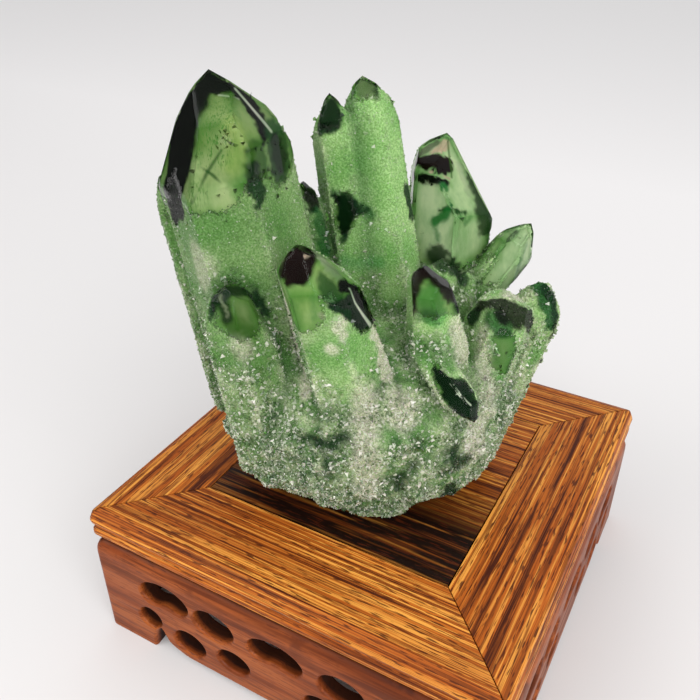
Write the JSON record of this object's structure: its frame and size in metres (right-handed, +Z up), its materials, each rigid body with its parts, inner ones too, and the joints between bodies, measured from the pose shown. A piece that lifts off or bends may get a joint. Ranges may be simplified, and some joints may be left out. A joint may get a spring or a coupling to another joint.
{
  "type": "phantom quartz cluster",
  "caption": "Green phantom quartz cluster of pointed crystals on a drusy base, resting on a square carved wooden stand with a flush top and pierced aprons.",
  "frame": {"origin": "on the surface the stand stands on, under the middle of the stand", "axes": "+Z up; -Y is the stand's front edge, and +X is its right side; the cluster is turned about 29 degrees on it, its front row of crystals towards the corner at +X -Y"},
  "size_m": [0.12, 0.12, 0.1568],
  "materials": {
    "striped_wood_top": "satin lacquer over bold dark stripes",
    "carved_wood_apron": "satin, smoothed by carving",
    "green_quartz": "clear at the points, frosted and drusy below"
  },
  "bodies": {
    "root": {"stand_panel": "striped_wood_top", "frame_front": "striped_wood_top", "frame_right": "striped_wood_top", "frame_back": "striped_wood_top", "frame_left": "striped_wood_top", "apron_front": "carved_wood_apron", "apron_right": "carved_wood_apron", "apron_back": "carved_wood_apron", "apron_left": "carved_wood_apron", "quartz_cluster": "green_quartz"}
  },
  "joints": []
}
